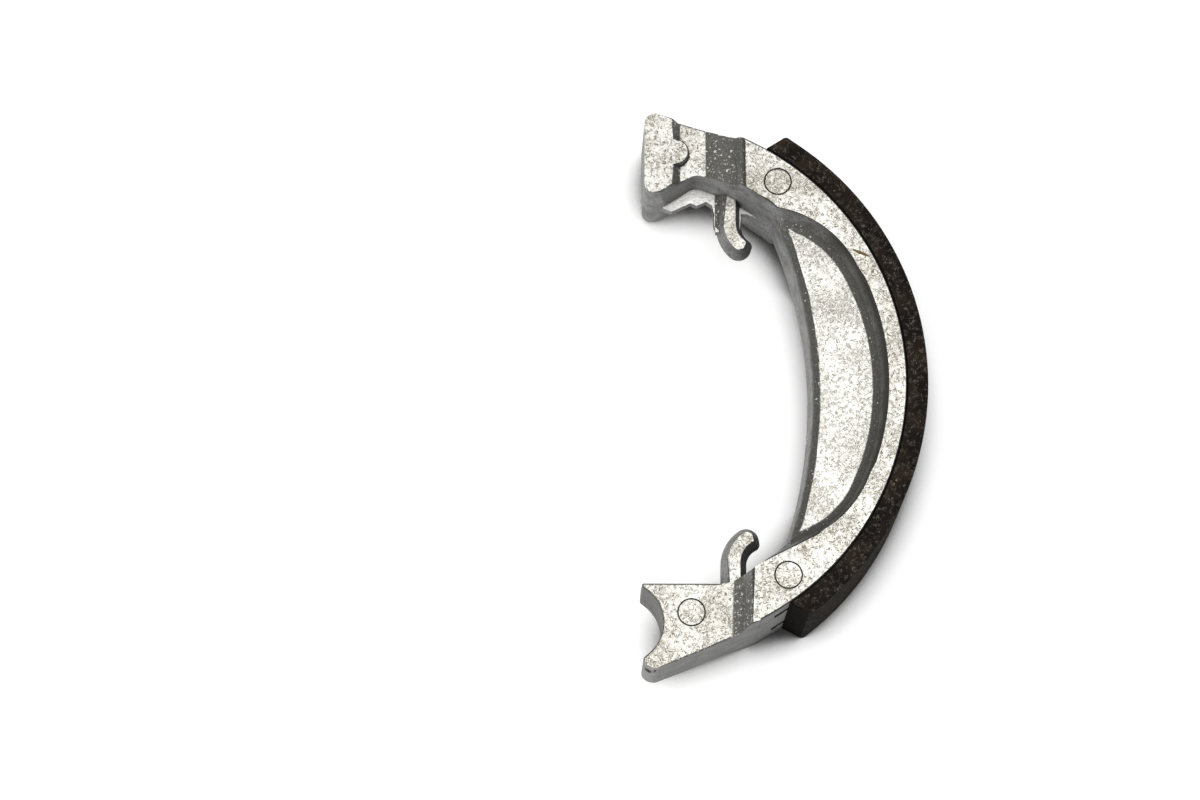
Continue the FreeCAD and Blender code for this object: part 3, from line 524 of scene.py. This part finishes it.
# %% The two pieces
def soft_copy(node_name, piece_name, material, edge_round):
    """A copy of a CAD node with its sharp edges rounded, which stands for the node in the picture."""
    mesh = bmesh.new()
    mesh.from_mesh(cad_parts[node_name].data)
    bmesh.ops.remove_doubles(mesh, verts=mesh.verts, dist=JOIN)
    bmesh.ops.dissolve_limit(mesh, angle_limit=FLATNESS, verts=mesh.verts, edges=mesh.edges)
    bmesh.ops.dissolve_degenerate(mesh, dist=edge_round / 2, edges=mesh.edges)
    tops = [edge for edge in mesh.edges if is_ramp_top(edge)]
    bmesh.ops.bevel(mesh, geom=tops, offset=RAMP_ROUND, offset_type="OFFSET", affect="EDGES", segments=4,
                    profile=0.5, clamp_overlap=False, material=-1)
    sharp = [edge for edge in mesh.edges if edge.is_manifold and edge.calc_face_angle() > SHARP_ANGLE]
    roomy = [edge for edge in sharp if narrowest(edge) > BEVEL_ROOM * edge_round and not is_on_hook(edge)]
    soft = bmesh.ops.bevel(mesh, geom=roomy, offset=edge_round, offset_type="OFFSET", affect="EDGES",
                           segments=2, profile=0.5, clamp_overlap=False, material=-1)
    for edge in mesh.edges:
        edge.smooth = edge.is_manifold and edge.calc_face_angle() < SHADE_APART and not is_crease(edge)
    for face in soft["faces"]:
        for edge in face.edges:
            if any(abs(beside.normal.z) > LEVEL for beside in edge.link_faces):
                edge.smooth = False
    data = bpy.data.meshes.new(piece_name)
    mesh.to_mesh(data)
    mesh.free()
    data.materials.append(material)
    data.polygons.foreach_set("use_smooth", [True] * len(data.polygons))
    piece = bpy.data.objects.new(piece_name, data)
    bpy.context.scene.collection.objects.link(piece)
    settle = piece.modifiers.new("shade_by_size", "WEIGHTED_NORMAL")
    settle.keep_sharp = True
    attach(piece, "root")
    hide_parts(node_name)
    print(piece_name, "faces:", len(data.polygons), "sharp edges:", len(sharp), "bevelled:", len(roomy),
          "ramp tops:", len(tops))
    return piece


shoe = soft_copy("shoe_casting", "cast_shoe", cast_metal, 0.28 * MM)
lining = soft_copy("brake_lining", "friction_strip", friction_mix, 0.25 * MM)

# %% [markdown]
# ## The floor
# The shoe lies on plain white. The floor glows a little for the camera and in reflections, so it is white
# without more light on the shoe. Close to the shoe the glow fades and the floor's colour is painted darker, a
# painted shadow, and an Ambient Occlusion node tells how close that is.

# %% Floor
FLOOR_HALF_SIZE = 3.0
FLOOR_DROP = 0.02 * MM
SHADOW_REACH = 9 * MM

floor_mesh = bmesh.new()
bmesh.ops.create_grid(floor_mesh, x_segments=1, y_segments=1, size=FLOOR_HALF_SIZE)
floor_data = bpy.data.meshes.new("floor")
floor_mesh.to_mesh(floor_data)
floor_mesh.free()
floor = bpy.data.objects.new("floor", floor_data)
floor.location.z = -FLOOR_DROP
bpy.context.scene.collection.objects.link(floor)

white, tree, shader, where = new_material("white_table")
shader.inputs["Roughness"].default_value = 0.9
shader.inputs["Specular IOR Level"].default_value = 0.0
shader.inputs["Emission Color"].default_value = linear("FFFFFF")
ray = add_node(tree, "ShaderNodeLightPath")
seen = add_node(tree, "ShaderNodeMath", {0: ray.outputs["Is Camera Ray"], 1: ray.outputs["Is Glossy Ray"]},
                operation="MAXIMUM")
seen = add_node(tree, "ShaderNodeMath", {0: seen, 1: ray.outputs["Is Transmission Ray"]}, operation="MAXIMUM")
open_sky = add_node(tree, "ShaderNodeAmbientOcclusion", {"Distance": SHADOW_REACH}, samples=16)
glow = add_node(tree, "ShaderNodeMapRange",
                {"Value": open_sky.outputs["AO"], "From Min": 0.56, "From Max": 0.82, "To Max": 0.44})
glow = add_node(tree, "ShaderNodeMath", {0: glow, 1: seen}, operation="MULTIPLY")
tree.links.new(glow.outputs["Value"], shader.inputs["Emission Strength"])
# Near the shoe the floor's colour is painted darker: a painted shadow.
outside_painted_shadow = add_node(tree, "ShaderNodeMapRange",
                 {"Value": open_sky.outputs["AO"], "From Min": 0.47, "From Max": 0.60})
floor_with_painted_shadow = add_node(tree, "ShaderNodeMix", {"Factor": outside_painted_shadow, "A": linear("555555"), "B": linear("F4F4F4")},
                 data_type="RGBA")
tree.links.new(floor_with_painted_shadow.outputs[2], shader.inputs["Base Color"])
floor_data.materials.append(white)
print("floor is", 2 * FLOOR_HALF_SIZE, "m square")

# %% [markdown]
# ## Light and room
# One large soft lamp hangs overhead, where the flat faces mirror it towards the camera. A smaller one far to
# the left lights the walls that face it. The room around them is dimmer, which is why the slopes and rounded
# edges look dark. Only the camera sees a white backdrop.

# %% Room
ROOM_LEVEL = 0.6
world = bpy.data.worlds.new("studio")
bpy.context.scene.world = world
world.use_nodes = True
tree = world.node_tree
room = tree.nodes["Background"]
room.inputs["Color"].default_value = linear("FFFFFF")
room.inputs["Strength"].default_value = ROOM_LEVEL
backdrop = add_node(tree, "ShaderNodeBackground", {"Color": linear("FFFFFF"), "Strength": 1.0})
ray = add_node(tree, "ShaderNodeLightPath")
choice = add_node(tree, "ShaderNodeMixShader", {0: ray.outputs["Is Camera Ray"], 1: room, 2: backdrop})
tree.links.new(choice.outputs["Shader"], tree.nodes["World Output"].inputs["Surface"])
print("room level:", ROOM_LEVEL)

# %% Lamps
def soft_lamp(name, place, width, height, radiance):
    """A rectangular soft lamp that faces the shoe. Its power follows from its size and its brightness."""
    data = bpy.data.lights.new(name, "AREA")
    data.shape = "RECTANGLE"
    data.size, data.size_y = width, height
    data.energy = radiance * math.pi * width * height
    lamp = bpy.data.objects.new(name, data)
    lamp.location = place
    lamp.rotation_euler = (-Vector(place)).to_track_quat("-Z", "Y").to_euler()
    bpy.context.scene.collection.objects.link(lamp)
    print(name, "power:", round(data.energy, 2), "W")


soft_lamp("overhead_softbox", (-0.02, -0.02, 0.75), 0.55, 0.85, 1.42)
soft_lamp("side_fill", (-0.9, -0.2, 0.55), 0.6, 0.6, 2.0)

# %% [markdown]
# ## Look
# The Standard view shows colours about as they are written.

# %% Look
bpy.context.scene.view_settings.view_transform = "Standard"
